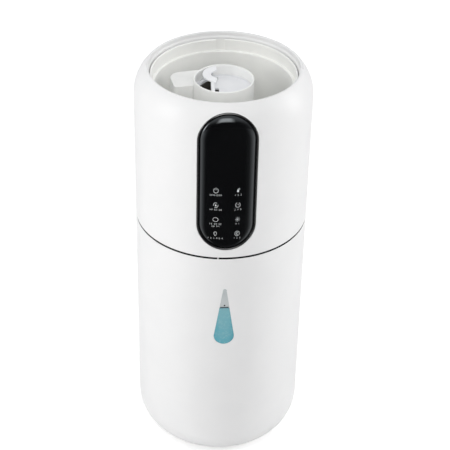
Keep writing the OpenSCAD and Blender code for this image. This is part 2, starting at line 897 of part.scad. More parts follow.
module intake_filter() {
    inner_y = sqrt(pow(shell_in - flange_t, 2) - pow(grille_w / 2, 2)) - slip;
    color("gray") translate([-grille_w / 2, inner_y - filter_t, grille_z]) cube([grille_w, filter_t, grille_h]);
}

// ---- Head: lift pump ----

module riser_pipe() {
    color("whitesmoke") difference() {
        rod(riser_r, pump_z + pump_h - socket_h, cup_floor + 12, 0, riser_y);
        rod(riser_bore, pump_z, cup_floor + 12 + eps, 0, riser_y);
    }
}

module pump_body() {
    top = pump_z + pump_h;
    color("dimgray") {
        difference() {
            rod(pump_r, pump_z, top, 0, pump_y);
            rod(pump_room_r, pump_z - eps, pump_z + pump_room_h, 0, pump_y);
            rod(riser_bore, pump_z, top, 0, riser_y);
            rod(riser_r + slip, top - socket_h, top + eps, 0, riser_y);
            rod(cable_r + slip, top - 3, top + eps, 0, cable_y);
        }
        rod(pump_pin, pump_z + 1, pump_z + pump_room_h + eps, 0, pump_y);
    }
}

module pump_impeller() {
    foot = pump_z + 1.5;
    color("orange") translate([0, pump_y, 0]) difference() {
        union() {
            rod(3.5, foot, foot + pump_vane_h);
            rod(pump_room_r - 2.5, foot + pump_vane_h - 1.2, foot + pump_vane_h);
            for (i = [0 : 5]) rotate([0, 0, 60 * i]) translate([2.5, -0.6, foot])
                cube([pump_room_r - 5.5, 1.2, pump_vane_h]);
        }
        rod(pump_pin + spin_fit, foot - eps, foot + pump_vane_h + eps);
    }
}

module pump_strainer() {
    slots = 12;
    color("gray") difference() {
        translate([0, pump_y, 0]) union() {
            ring(pump_r - 1.6, pump_r, strainer_z, pump_z);
            rod(pump_r, strainer_z, strainer_z + 1.6);
        }
        translate([0, pump_y, strainer_z + 2.6]) for (i = [0 : slots - 1]) rotate([0, 0, 360 * i / slots])
            translate([pump_r - 4, -1.2, 0]) cube([6, 2.4, strainer_h - 4]);
    }
}

module pump_cable() {
    color("black") rod(cable_r, pump_z + pump_h - 3, deck_z + 8, 0, cable_y);
}

lower_shell();
water_tank();
level_window();
base_plate();
base_screws();
feet();
seam_ring();
upper_shell();
panel_bezel();
touch_panel();
touch_board();
display_module();
key_light_guide();
head_deck();
deck_screws();
pour_basin();
fill_pipe();
mist_tower();
tower_gasket();
air_duct();
splash_baffle();
atomiser_cup();
transducer_disc();
transducer_seal();
transducer_clamp();
level_float();
uv_lamp();
fan_housing();
fan_motor();
fan_impeller();
driver_board();
dc_jack();
intake_grille();
intake_filter();
riser_pipe();
pump_body();
pump_impeller();
pump_strainer();
pump_cable();
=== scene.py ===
# %% [markdown]
# # A cool mist humidifier, dressed step by step
# The real object is two white moulded shells that stack: a bucket for the water and
# a lift-off machine head with a touch panel, a pour basin and a mist tower.
# The CAD model already has every solid at its true size and place, so Blender only
# has to dress it. This lesson loads that model as a fixed frame, measures it, and then
# adds the camera, the light, the finishes and the few pieces that need softer shapes.

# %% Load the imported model
import json
import math

import bmesh
import bpy
from mathutils import Matrix, Vector


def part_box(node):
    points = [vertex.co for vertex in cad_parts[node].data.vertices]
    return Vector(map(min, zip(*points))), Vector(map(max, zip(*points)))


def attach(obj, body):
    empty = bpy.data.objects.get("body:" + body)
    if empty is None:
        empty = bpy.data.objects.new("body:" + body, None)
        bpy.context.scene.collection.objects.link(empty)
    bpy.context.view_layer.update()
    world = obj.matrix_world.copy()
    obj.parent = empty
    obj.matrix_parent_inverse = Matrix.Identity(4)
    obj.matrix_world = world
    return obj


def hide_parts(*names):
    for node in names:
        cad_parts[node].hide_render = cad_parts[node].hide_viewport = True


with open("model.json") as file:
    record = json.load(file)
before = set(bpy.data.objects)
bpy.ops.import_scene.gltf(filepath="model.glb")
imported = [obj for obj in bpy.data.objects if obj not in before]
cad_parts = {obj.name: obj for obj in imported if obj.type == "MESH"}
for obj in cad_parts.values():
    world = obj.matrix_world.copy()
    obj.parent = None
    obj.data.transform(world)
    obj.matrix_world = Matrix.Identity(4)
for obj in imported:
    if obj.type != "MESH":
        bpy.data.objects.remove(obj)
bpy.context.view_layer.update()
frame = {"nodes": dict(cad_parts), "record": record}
nodes = frame["nodes"]
scene = bpy.context.scene
MM = 0.001

# %% [markdown]
# ## Sizes taken from the model
# A dresser measures the figure before cutting cloth. Every size below is read from the
# boxes of the CAD nodes, so a piece stays in place when the model changes. The few
# sizes that a box cannot tell, such as the radius of the shoulder, are named once here.

# %% Measure what the new pieces rest on
shell_low, shell_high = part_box("upper_shell")
bucket_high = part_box("lower_shell")[1]
lens_low, lens_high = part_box("touch_panel")
window_low, window_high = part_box("level_window")
basin_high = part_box("pour_basin")[1]
tower_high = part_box("mist_tower")[1]
cup_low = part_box("atomiser_cup")[0]

body_radius = shell_high.x
total_height = shell_high.z
seam_height = (bucket_high.z + shell_low.z) / 2
shoulder_radius = 37 * MM
shoulder_centre = 401 * MM
lens_width = lens_high.x - lens_low.x
print("body radius", round(body_radius / MM, 2), "mm, seam at", round(seam_height / MM, 2), "mm")
print("panel lens", round(lens_width / MM, 1), "mm wide, from", *[round(z / MM, 1) for z in (lens_low.z, lens_high.z)])


def body_surface(height):
    """Radius of the white skin at a height between the foot's curve and the mouth."""
    rise = max(0.0, height - shoulder_centre)
    return body_radius - shoulder_radius + math.sqrt(shoulder_radius ** 2 - rise ** 2)


print("skin at the top of the lens:", round(body_surface(lens_high.z) / MM, 2), "mm from the axis")

# %% [markdown]
# ## The camera
# A catalogue view of a tall object is taken with a long lens from above, so its
# sides stay nearly parallel and one can look into the open top. The camera stands a
# little left of the front, looks down by about 34 degrees and is rolled by one degree.

# %% Place the camera
camera_data = bpy.data.cameras.new("catalogue_camera")
camera_data.lens = 106.82
camera_data.sensor_width = 36
camera_data.clip_start = 0.05
camera_data.clip_end = 30
camera = bpy.data.objects.new("catalogue_camera", camera_data)
camera.location = (-0.0684, -1.1140, 1.0060)
heading, tilt, roll = math.radians(-3.73), math.radians(55.8), math.radians(1.31)
turned = Matrix.Rotation(heading, 4, "Z") @ Matrix.Rotation(tilt, 4, "X") @ Matrix.Rotation(roll, 4, "Z")
camera.rotation_euler = turned.to_euler()
scene.collection.objects.link(camera)
scene.camera = camera
scene.view_settings.view_transform = "Standard"
print("camera at", [round(c, 3) for c in camera.location], "looking down", 90 - math.degrees(tilt), "degrees")

# %% [markdown]
# ## Helpers for shader nodes
# A material is a network of nodes, and wiring one by hand takes many lines. Each of
# these short functions places one kind of node, links what it takes and hands back the
# socket with its answer, so the cells below read almost like sums.

# %% Helpers that wire nodes


def new_material(name):
    """A material with nothing but a Principled shader; returns it with its nodes, links and shader."""
    made = bpy.data.materials.new(name)
    made.use_nodes = True
    tree, links = made.node_tree.nodes, made.node_tree.links
    tree.clear()
    shader = tree.new("ShaderNodeBsdfPrincipled")
    links.new(shader.outputs[0], tree.new("ShaderNodeOutputMaterial").inputs["Surface"])
    return made, tree, links, shader


def new_group(name, takes, gives):
    """A shader node group with named sockets; returns it with its nodes, links, input and output."""
    group = bpy.data.node_groups.new(name, "ShaderNodeTree")
    for socket, kind, start in takes:
        made = group.interface.new_socket(socket, in_out="INPUT", socket_type=kind)
        if start is not None:
            made.default_value = start
    for socket, kind in gives:
        group.interface.new_socket(socket, in_out="OUTPUT", socket_type=kind)
    inside = group.nodes.new("NodeGroupInput")
    outside = group.nodes.new("NodeGroupOutput")
    return group, group.nodes, group.links, inside, outside


FLOAT, COLOUR = "NodeSocketFloat", "NodeSocketColor"
print("materials and groups can be made")

# %% [markdown]
# The next helpers say where a point lies. Places are always Object coordinates, so a
# texture has its true size in metres and sticks to its piece when the piece moves.

# %% Helpers for places and noise


def feed(links, socket, value):
    """Links a socket to another one, or sets it to a fixed value."""
    if isinstance(value, bpy.types.NodeSocket):
        links.new(value, socket)
    else:
        socket.default_value = value


def object_place(tree):
    """The socket with each point's place on the object."""
    return tree.new("ShaderNodeTexCoord").outputs["Object"]


def split_axes(tree, links, source):
    """The X, Y and Z of a vector, as three sockets."""
    node = tree.new("ShaderNodeSeparateXYZ")
    links.new(source, node.inputs[0])
    return node.outputs["X"], node.outputs["Y"], node.outputs["Z"]


def noise(tree, links, scale, detail=2.0, roughness=0.5, stretch=None):
    """Noise on Object coordinates; scale is cells per metre."""
    texture = tree.new("ShaderNodeTexNoise")
    texture.inputs["Detail"].default_value = detail
    texture.inputs["Roughness"].default_value = roughness
    feed(links, texture.inputs["Scale"], scale)
    source = object_place(tree)
    if stretch:
        mapping = tree.new("ShaderNodeMapping")
        mapping.inputs["Scale"].default_value = stretch
        links.new(source, mapping.inputs["Vector"])
        source = mapping.outputs[0]
    links.new(source, texture.inputs["Vector"])
    return texture.outputs["Fac"]


print("noise is in cells per metre")

# %% [markdown]
# The last helpers reckon with what the others give: a ramp turns one range into
# another, and a Bump node turns a height into bent light.

# %% Helpers that reckon


def ramp_value(tree, links, source, low, high, start=0.0, stop=1.0, eased=False):
    """Maps a value from low..high to start..stop, held at both ends; eased rounds both corners."""
    node = tree.new("ShaderNodeMapRange")
    if eased:
        node.interpolation_type = "SMOOTHSTEP"
    for socket, value in (("From Min", low), ("From Max", high), ("To Min", start), ("To Max", stop)):
        feed(links, node.inputs[socket], value)
    links.new(source, node.inputs["Value"])
    return node.outputs[0]


def math_node(tree, links, operation, *values):
    """One Math node; each value is a number or a socket."""
    node = tree.new("ShaderNodeMath")
    node.operation = operation
    for slot, value in zip(node.inputs, values):
        feed(links, slot, value)
    return node.outputs[0]


def mix_colour(tree, links, factor, first, second, blend="MIX"):
    """One Mix node for colours; each of the three is a value or a socket."""
    node = tree.new("ShaderNodeMix")
    node.data_type = "RGBA"
    node.blend_type = blend
    for slot, value in ((0, factor), (6, first), (7, second)):
        feed(links, node.inputs[slot], value)
    return node.outputs[2]


def emboss(tree, links, shader, height, strength, distance):
    """Bends a shader's normal by a height, through a Bump node."""
    node = tree.new("ShaderNodeBump")
    node.inputs["Strength"].default_value = strength
    node.inputs["Distance"].default_value = distance
    links.new(height, node.inputs["Height"])
    links.new(node.outputs[0], shader.inputs["Normal"])


print("helpers ready")

# %% [markdown]
# ## The floor
# White plastic in front of white needs care: if the lamps are simply turned up, the
# pale shells clip and lose their form. So the light on the object stays plain, and
# only rays that come straight from the camera, or pass through clear plastic, find a
# whiter floor. Near the object the lift is small, so the soft shadow stays. Further away
# it grows until the floor is as white as the sky.

# %% Build the floor
FLOOR_SIZE = 16.0
FLOOR_LIFT = 0.34
SHADOW_ENDS, WHITE_STARTS = 0.8, 1.8


def seen_directly(tree, links):
    """One where a ray comes from the camera or through clear plastic."""
    path = tree.new("ShaderNodeLightPath")
    return math_node(tree, links, "MAXIMUM", path.outputs["Is Camera Ray"], path.outputs["Is Transmission Ray"])


def staged(name, made, finish):
    """Turns a bmesh into a piece of the studio."""
    data = bpy.data.meshes.new(name)
    made.to_mesh(data)
    made.free()
    data.materials.append(finish)
    piece = bpy.data.objects.new(name, data)
    scene.collection.objects.link(piece)
    return piece


paper, tree, links, shader = new_material("studio_paper")
shader.inputs["Base Color"].default_value = (0.86, 0.86, 0.86, 1)
shader.inputs["Roughness"].default_value = 0.9
shader.inputs["Specular IOR Level"].default_value = 0.1
shader.inputs["Emission Color"].default_value = (1, 1, 1, 1)
away = tree.new("ShaderNodeVectorMath")
away.operation = "LENGTH"
links.new(object_place(tree), away.inputs[0])
lift = ramp_value(tree, links, away.outputs["Value"], SHADOW_ENDS, WHITE_STARTS, FLOOR_LIFT, 1.0)
links.new(math_node(tree, links, "MULTIPLY", seen_directly(tree, links), lift), shader.inputs["Emission Strength"])

ground = bmesh.new()
bmesh.ops.create_grid(ground, x_segments=4, y_segments=4, size=FLOOR_SIZE / 2)
staged("studio_floor", ground, paper)
print("floor", FLOOR_SIZE, "m square")

# %% [markdown]
# ## A black card for the glossy panel
# A glossy black panel shows what stands in front of it, and here that is a white floor,
# which would turn it grey. A good studio lays black velvet there. This one is
# seen by mirror rays alone, so it takes no light from the white shells. It is a
# grid pulled out into a fan, and its alpha fades with the angle, so that the
# panel shows no hard edge.

# %% Lay the black card
CARD_SPREAD, CARD_CORE = math.radians(64), math.radians(22)
CARD_NEAR, CARD_FAR = 0.04, 7.8
CARD_LIFT = 2 * MM

velvet, tree, links, shader = new_material("black_velvet")
shader.inputs["Base Color"].default_value = (0.01, 0.01, 0.01, 1)
shader.inputs["Roughness"].default_value = 1.0
shader.inputs["Specular IOR Level"].default_value = 0.0
right, back = split_axes(tree, links, object_place(tree))[:2]
turned = math_node(tree, links, "ARCTAN2", right, math_node(tree, links, "MULTIPLY", back, -1.0))
angle = math_node(tree, links, "ABSOLUTE", turned)
links.new(ramp_value(tree, links, angle, CARD_CORE, CARD_SPREAD, 1.0, 0.0, eased=True), shader.inputs["Alpha"])

fan = bmesh.new()
bmesh.ops.create_grid(fan, x_segments=1, y_segments=1, size=0.5)
for vert in fan.verts:
    reach = CARD_NEAR if vert.co.y > 0 else CARD_FAR
    vert.co = (2 * vert.co.x * reach * math.tan(CARD_SPREAD), -body_radius - reach, CARD_LIFT)
card = staged("black_card", fan, velvet)
card.visible_camera = False
card.visible_diffuse = False
card.visible_transmission = False
card.visible_shadow = False
print("card", CARD_FAR, "m long, faded beyond", round(math.degrees(CARD_CORE)), "degrees")

# %% [markdown]
# ## The world
# The sky is a soft fill that comes from behind and above. It fades out towards the
# front, where the panel looks, and comes back overhead to light the open basin. Straight
# from the camera it is plain white.

# %% Fill the world
WORLD_FILL = 0.74
WORLD_FRONT = 0.0
WORLD_TOP = 0.79

world = bpy.data.worlds.new("soft_studio")
scene.world = world
world.use_nodes = True
tree, links = world.node_tree.nodes, world.node_tree.links
tree.clear()
world_output = tree.new("ShaderNodeOutputWorld")
sky = tree.new("ShaderNodeBackground")
sky.inputs["Color"].default_value = (0.985, 0.99, 1.0, 1)
back, up = split_axes(tree, links, tree.new("ShaderNodeTexCoord").outputs["Generated"])[1:]
front = math_node(tree, links, "MULTIPLY", back, -1.0)
around = ramp_value(tree, links, front, -0.2, 0.97, WORLD_FILL, WORLD_FRONT, eased=True)
pick = tree.new("ShaderNodeMix")
links.new(seen_directly(tree, links), pick.inputs["Factor"])
links.new(ramp_value(tree, links, up, 0.25, 0.8, around, WORLD_TOP, eased=True), pick.inputs["A"])
pick.inputs["B"].default_value = 1.0
links.new(pick.outputs["Result"], sky.inputs["Strength"])
links.new(sky.outputs[0], world_output.inputs["Surface"])
print("world fill", WORLD_FILL, "and", WORLD_TOP, "overhead")

# %% [markdown]
# ## The lamps
# Two tall soft boxes stand left and right of the object. Their long soft streaks draw
# the round body and show as upright lights along both edges of the glossy panel. A third
# box hangs in front like a window, and the bent top of the panel shows it as a small
# bright patch. Every box fades towards its rim, as cloth in front of a lamp does, so
# none of them leaves a hard edge in the gloss.

# %% Hang the soft boxes
LAMPS = {
    "left_box": {"at": (-1.53, -0.62, 0.70), "size": (0.75, 1.8), "watts": 40, "edge": 1.0},
    "right_box": {"at": (1.65, 0.0, 0.75), "size": (0.75, 1.8), "watts": 40, "edge": 1.0},
    "front_window": {"at": (-0.08, -1.76, 1.46), "size": (1.4, 1.5), "watts": 26, "edge": 0.7},
}
aim = Vector((0, 0, 0.5 * total_height))


def soften(light, edge):
    """Fades a lamp towards its rim, over a share of its half width."""
    light.use_nodes = True
    tree, links = light.node_tree.nodes, light.node_tree.links
    across, along = split_axes(tree, links, tree.new("ShaderNodeNewGeometry").outputs["Parametric"])[:2]
    shares = []
    for place in (across, along):
        away = math_node(tree, links, "ABSOLUTE", math_node(tree, links, "MULTIPLY_ADD", place, 2.0, -1.0))
        shares.append(ramp_value(tree, links, away, 1 - edge, 1.0, 1.0, 0.0, eased=True))
    links.new(math_node(tree, links, "MULTIPLY", *shares), tree["Emission"].inputs["Strength"])


for name, lamp in LAMPS.items():
    light = bpy.data.lights.new(name, "AREA")
    light.shape = "RECTANGLE"
    light.size, light.size_y = lamp["size"]
    light.energy = lamp["watts"]
    light.color = (1.0, 0.99, 0.975)
    soften(light, lamp["edge"])
    holder = bpy.data.objects.new(name, light)
    holder.location = lamp["at"]
    holder.rotation_euler = (aim - Vector(lamp["at"])).to_track_quat("-Z", "Y").to_euler()
    scene.collection.objects.link(holder)
    print(name, lamp["watts"], "W")

# %% [markdown]
# ## Shared effects as node groups
# Moulded plastic is never one flat colour: the steel mould leaves a fine grain, the
# pigment drifts by a shade, dust settles on what faces up and hands polish a rim. The
# inside of the mist shaft gets painted shade, a dark brown where little light gets in. Each of these is built once as
# a node group with named sockets, then placed in a finish with its own values. The groups only put
# out colours, values and heights. The shader itself stays in the material, where its
# fixed numbers are easy to find.

# %% Group: grain of moulded plastic
grain_group, tree, links, inside, outside = new_group(
    "moulded_grain",
    [("Colour", COLOUR, (0.8, 0.8, 0.8, 1)), ("Grain per Metre", FLOAT, 2600.0),
     ("Shade Drift", FLOAT, 0.03), ("Roughness", FLOAT, 0.4), ("Roughness Drift", FLOAT, 0.06)],
    [("Colour", COLOUR), ("Roughness", FLOAT), ("Height", FLOAT)])
slow = noise(tree, links, 22.0, detail=3)
fast = noise(tree, links, inside.outputs["Grain per Metre"], detail=1.5)
drift = ramp_value(tree, links, slow, 0.3, 0.7, -1.0, 1.0)
shade = math_node(tree, links, "MULTIPLY", drift, inside.outputs["Shade Drift"])
darker = mix_colour(tree, links, 1.0, inside.outputs["Colour"], (0.82, 0.83, 0.85, 1), "MULTIPLY")
links.new(mix_colour(tree, links, math_node(tree, links, "ABSOLUTE", shade), inside.outputs["Colour"], darker),
          outside.inputs["Colour"])
rough = math_node(tree, links, "MULTIPLY_ADD", drift, inside.outputs["Roughness Drift"], inside.outputs["Roughness"])
links.new(rough, outside.inputs["Roughness"])
links.new(fast, outside.inputs["Height"])
print(grain_group.name, [s.name for s in grain_group.interface.items_tree])

# %% [markdown]
# Dust lies on what faces up. Painted dust would stay where it was painted when a piece
# is tipped over, so the group asks each point for its normal instead, keeps what points
# upwards and breaks it up with a noise.

# %% Group: dust on what faces up
dust_group, tree, links, inside, outside = new_group(
    "settled_dust",
    [("Colour", COLOUR, (0.8, 0.8, 0.8, 1)), ("Roughness", FLOAT, 0.4), ("Amount", FLOAT, 0.2)],
    [("Colour", COLOUR), ("Roughness", FLOAT)])
up = split_axes(tree, links, tree.new("ShaderNodeNewGeometry").outputs["Normal"])[2]
upward = ramp_value(tree, links, up, 0.55, 0.98)
patchy = ramp_value(tree, links, noise(tree, links, 160.0, detail=4, roughness=0.65), 0.42, 0.72)
mask = math_node(tree, links, "MULTIPLY", math_node(tree, links, "MULTIPLY", upward, patchy), inside.outputs["Amount"])
links.new(mix_colour(tree, links, mask, inside.outputs["Colour"], (0.52, 0.5, 0.46, 1)), outside.inputs["Colour"])
links.new(math_node(tree, links, "MULTIPLY_ADD", mask, 0.35, inside.outputs["Roughness"]), outside.inputs["Roughness"])
print(dust_group.name, [s.name for s in dust_group.interface.items_tree])

# %% [markdown]
# Fingers hold the rims, and rims get smoother. A painted map could say where, but
# every rim here is a ring, so one height and one width say it all.

# %% Group: rings that hands polish
polish_group, tree, links, inside, outside = new_group(
    "handled_band",
    [("Height", FLOAT, 0.0), ("Half Width", FLOAT, 0.002), ("Roughness", FLOAT, 0.4), ("Polish", FLOAT, 0.12)],
    [("Roughness", FLOAT)])
up = split_axes(tree, links, object_place(tree))[2]
away = math_node(tree, links, "ABSOLUTE", math_node(tree, links, "SUBTRACT", up, inside.outputs["Height"]))
near = ramp_value(tree, links, away, 0.0, inside.outputs["Half Width"], 1.0, 0.0)
broken = ramp_value(tree, links, noise(tree, links, 60.0, detail=3), 0.35, 0.6)
mask = math_node(tree, links, "MULTIPLY", near, broken)
links.new(math_node(tree, links, "SUBTRACT", inside.outputs["Roughness"],
                    math_node(tree, links, "MULTIPLY", mask, inside.outputs["Polish"])), outside.inputs["Roughness"])
print(polish_group.name, [s.name for s in polish_group.interface.items_tree])

# %% [markdown]
# Little light gets into the mist shaft, so its shade is painted into the colour: a dark
# brown on its walls. The shaft is a cylinder, so a radius and two heights mark it, without a map.

# %% Group: painted shade inside the mist shaft
shaft_shade_group, tree, links, inside, outside = new_group(
    "mist_shaft_painted_shade",
    [("Colour", COLOUR, (0.8, 0.8, 0.8, 1)), ("Radius", FLOAT, 0.028), ("Top", FLOAT, 0.4),
     ("Bottom", FLOAT, 0.27)],
    [("Colour", COLOUR)])
right, back, up = split_axes(tree, links, object_place(tree))
squares = [math_node(tree, links, "POWER", way, 2.0) for way in (right, back)]
across = math_node(tree, links, "SQRT", math_node(tree, links, "ADD", *squares))
within = math_node(tree, links, "LESS_THAN", across, inside.outputs["Radius"])
under = ramp_value(tree, links, math_node(tree, links, "SUBTRACT", inside.outputs["Top"], up), 0.0, 0.002)
mottled = ramp_value(tree, links, noise(tree, links, 90.0, detail=4), 0.3, 0.6, 0.85, 1.0)
above = math_node(tree, links, "GREATER_THAN", up, inside.outputs["Bottom"])
mask = math_node(tree, links, "MULTIPLY", math_node(tree, links, "MULTIPLY", within, under), mottled)
mask = math_node(tree, links, "MULTIPLY", mask, above)
# painted shade: inside the shaft the colour turns a mottled dark brown, where little light gets in
links.new(mix_colour(tree, links, mask, inside.outputs["Colour"], (0.15, 0.132, 0.112, 1)), outside.inputs["Colour"])
print(shaft_shade_group.name, [s.name for s in shaft_shade_group.interface.items_tree])

# %% [markdown]
# ## Plastic finishes
# One function wires the same chain for every moulded plastic: colour and roughness go
# through the grain group and the dust group, and the grain's height drives a Bump node.
# Only the values differ between the soft-touch white of the shells, the grey of the basin and
# the dark plastic of the motor parts.

# %% Make a plastic finish


def place_group(tree, group, **values):
    """A node that runs a group, with its inputs set by name (_ stands for a space)."""
    node = tree.new("ShaderNodeGroup")
    node.node_tree = group
    for name, value in values.items():
        node.inputs[name.replace("_", " ")].default_value = value
    return node


def plastic(slot, colour, roughness, grain=2600.0, bump=0.04, drift=0.3, dust=0.15, spread=0.05,
            coat=0.0, band=None, specular=0.5, shaft=None):
    """A moulded plastic for one material slot of the record."""
    made, tree, links, shader = new_material(slot + "_finish")
    shader.inputs["Specular IOR Level"].default_value = specular
    shader.inputs["Coat Weight"].default_value = coat
    shader.inputs["Coat Roughness"].default_value = 0.12
    skin = place_group(tree, grain_group, Colour=(*colour, 1), Grain_per_Metre=grain, Shade_Drift=drift,
                       Roughness=roughness, Roughness_Drift=spread)
    film = place_group(tree, dust_group, Amount=dust)
    links.new(skin.outputs["Colour"], film.inputs["Colour"])
    links.new(skin.outputs["Roughness"], film.inputs["Roughness"])
    worn = film.outputs["Roughness"]
    if band:
        rub = place_group(tree, polish_group, Height=band[0], Half_Width=band[1])
        links.new(worn, rub.inputs["Roughness"])
        worn = rub.outputs["Roughness"]
    shade = film.outputs["Colour"]
    # painted shade of the mist shaft, for the finishes that line it
    if shaft:
        stain_and_shade = place_group(tree, shaft_shade_group, Radius=shaft[0], Top=shaft[1], Bottom=shaft[2])
        links.new(shade, stain_and_shade.inputs["Colour"])
        shade = stain_and_shade.outputs["Colour"]
    links.new(shade, shader.inputs["Base Color"])
    links.new(worn, shader.inputs["Roughness"])
    emboss(tree, links, shader, skin.outputs["Height"], bump, 0.0004)
    return made


# %% [markdown]
# The table below gives each plastic of the record its values: colour, roughness, grains
# per metre, then what sets it apart. Soft-touch white has next to no drift, rubber
# is rough and dusty, and the frame of the panel is black lacquer with a clear coat.

# %% Mix the plastics
# where the painted shade of the mist shaft lies: its radius, top and bottom
MIST_SHAFT = (28.0 * MM, tower_high.z - 12.5 * MM, cup_low.z + 1 * MM)
finishes = {
    "white_shell": plastic("white_shell", (0.83, 0.832, 0.836), 0.40, grain=2400, bump=0.05, drift=0.08, dust=0.04,
                           band=(total_height, 0.004)),
    "inner_white": plastic("inner_white", (0.76, 0.765, 0.765), 0.5, grain=1800, dust=0.1, shaft=MIST_SHAFT),
    "basin_grey": plastic("basin_grey", (0.945, 0.948, 0.925), 0.42, grain=2000, bump=0.05, dust=0.05,
                          band=(basin_high.z, 0.002)),
    "tower_grey": plastic("tower_grey", (0.925, 0.93, 0.915), 0.42, grain=2000, bump=0.05, dust=0.05,
                          band=(tower_high.z, 0.002), shaft=MIST_SHAFT),
    "baffle_white": plastic("baffle_white", (0.89, 0.90, 0.92), 0.32, grain=2200, dust=0.04),
    "dark_plastic": plastic("dark_plastic", (0.035, 0.036, 0.04), 0.5, grain=1500, bump=0.08, dust=0.3),
    "float_plastic": plastic("float_plastic", (0.80, 0.36, 0.09), 0.45, grain=1800, dust=0.05),
    "rubber": plastic("rubber", (0.045, 0.045, 0.048), 0.78, grain=900, bump=0.18, dust=0.35, specular=0.3),
    "seal": plastic("seal", (0.008, 0.0085, 0.009), 0.7, grain=1100, bump=0.12, dust=0.1, specular=0.15),
    "display": plastic("display", (0.62, 0.61, 0.53), 0.35, grain=1200, dust=0.02, coat=0.4),
    "panel_frame": plastic("panel_frame", (0.008, 0.008, 0.009), 0.14, grain=900, bump=0.01, dust=0.03, coat=1.0,
                           specular=1.0),
}
print("plastics:", ", ".join(finishes))

# %% [markdown]
# ## Glossy and clear finishes
# The touch glass is nearly black acrylic: its colour says little, its gloss says
# everything, so the work goes into roughness, where a noise leaves the faint smears of
# fingers. A slightly blue tint cools what it mirrors.

# %% Finish: smoked acrylic
smoked, tree, links, shader = new_material("black_glass_finish")
shader.inputs["Specular IOR Level"].default_value = 0.75
shader.inputs["Specular Tint"].default_value = (0.88, 0.95, 1.0, 1)
smears = noise(tree, links, 38.0, detail=5, roughness=0.7, stretch=(1.0, 1.0, 0.35))
links.new(ramp_value(tree, links, smears, 0.4, 0.75, 0.055, 0.17), shader.inputs["Roughness"])
depth = mix_colour(tree, links, ramp_value(tree, links, noise(tree, links, 12.0), 0.35, 0.65),
                   (0.0030, 0.0032, 0.0038, 1), (0.0048, 0.0050, 0.0056, 1))
links.new(depth, shader.inputs["Base Color"])
emboss(tree, links, shader, noise(tree, links, 55.0, detail=1), 0.05, 0.0005)
finishes["black_glass"] = smoked
print("smoked acrylic ready")

# %% [markdown]
# The level window is clear plastic with water behind it. Real refraction would need the
# water as a solid. Painting what one sees through the window is cheaper and holds at
# every angle: blue-green up to the water, darkened by painted shade towards the bottom
# and the sides, pale grey above, and a dark line where the water climbs the plastic.

# %% Finish: level window with water behind it
WATER_LINE = 207.2 * MM
window, tree, links, shader = new_material("level_window_finish")
shader.inputs["Coat Weight"].default_value = 0.6
shader.inputs["Coat Roughness"].default_value = 0.08
right, back, up = split_axes(tree, links, object_place(tree))
ripple = math_node(tree, links, "MULTIPLY_ADD", noise(tree, links, 260.0), 1.4 * MM, -0.7 * MM)
level = math_node(tree, links, "SUBTRACT", math_node(tree, links, "ADD", up, ripple), WATER_LINE)
wet = ramp_value(tree, links, level, -0.25 * MM, 0.25 * MM, 1.0, 0.0)
# painted shade: the water is darker towards the bottom of the window
shade_below = ramp_value(tree, links, up, window_low.z, WATER_LINE, 1.0, 0.0)
cloud = ramp_value(tree, links, noise(tree, links, 90.0, detail=3), 0.3, 0.7)
water = mix_colour(tree, links, shade_below, (0.215, 0.47, 0.53, 1), (0.115, 0.41, 0.50, 1))
water = mix_colour(tree, links, math_node(tree, links, "MULTIPLY", cloud, 0.35), water, (0.27, 0.47, 0.52, 1))
bubbles = ramp_value(tree, links, noise(tree, links, 420.0, detail=3, roughness=0.6), 0.52, 0.72)
water = mix_colour(tree, links, math_node(tree, links, "MULTIPLY", bubbles, 0.4), water, (0.36, 0.60, 0.61, 1))
# painted shade: the water is darker towards both sides of the window
side = ramp_value(tree, links, math_node(tree, links, "ABSOLUTE", right), 4 * MM, 10 * MM)
water = mix_colour(tree, links, math_node(tree, links, "MULTIPLY", side, 0.5), water, (0.07, 0.33, 0.43, 1))
dry = mix_colour(tree, links, cloud, (0.50, 0.54, 0.555, 1), (0.57, 0.60, 0.61, 1))
body_colour = mix_colour(tree, links, wet, dry, water)
climb = ramp_value(tree, links, math_node(tree, links, "ABSOLUTE", level), 0.0, 1.0 * MM, 0.75, 0.0)
links.new(mix_colour(tree, links, climb, body_colour, (0.03, 0.13, 0.2, 1)), shader.inputs["Base Color"])
links.new(ramp_value(tree, links, cloud, 0.0, 1.0, 0.12, 0.24), shader.inputs["Roughness"])
finishes["level_window"] = window
print("water line at", WATER_LINE / MM, "mm")

# %% [markdown]
# The inner tank and the tube of the lamp are milky clear plastic. Full transmission
# would be noisy inside a closed shell, so only a share of the light passes through, and
# a pale base colour gives back the rest.

# %% Finish: clear plastic for the tank and the lamp lens


def clear_plastic(slot, tint, see_through, roughness):
    """Clear moulded plastic; its colour drifts a little as the wall's thickness does."""
    made, tree, links, shader = new_material(slot + "_finish")
    shader.inputs["Transmission Weight"].default_value = see_through
    shader.inputs["IOR"].default_value = 1.49
    drift = ramp_value(tree, links, noise(tree, links, 35.0, detail=3), 0.3, 0.7)
    paler = tuple(min(1.0, c * 1.06 + 0.01) for c in tint)
    links.new(mix_colour(tree, links, drift, (*tint, 1), (*paler, 1)), shader.inputs["Base Color"])
    links.new(ramp_value(tree, links, noise(tree, links, 60.0, detail=2), 0.3, 0.75, roughness, roughness * 1.4),
              shader.inputs["Roughness"])
    return made


finishes["clear_tank"] = clear_plastic("clear_tank", (0.86, 0.88, 0.88), 0.1, 0.3)
finishes["lamp_lens"] = clear_plastic("lamp_lens", (0.42, 0.30, 0.78), 0.5, 0.1)
print("clear plastics ready")

# %% [markdown]
# ## Metals
# Screws, the motor's can, the ultrasonic disc and its brass ring are bare metal. A
# stretched noise stands for the fine lines of turning and rolling. It drives the roughness
# and a very low bump, so highlights break up along the lines.

# %% Finish: turned metal


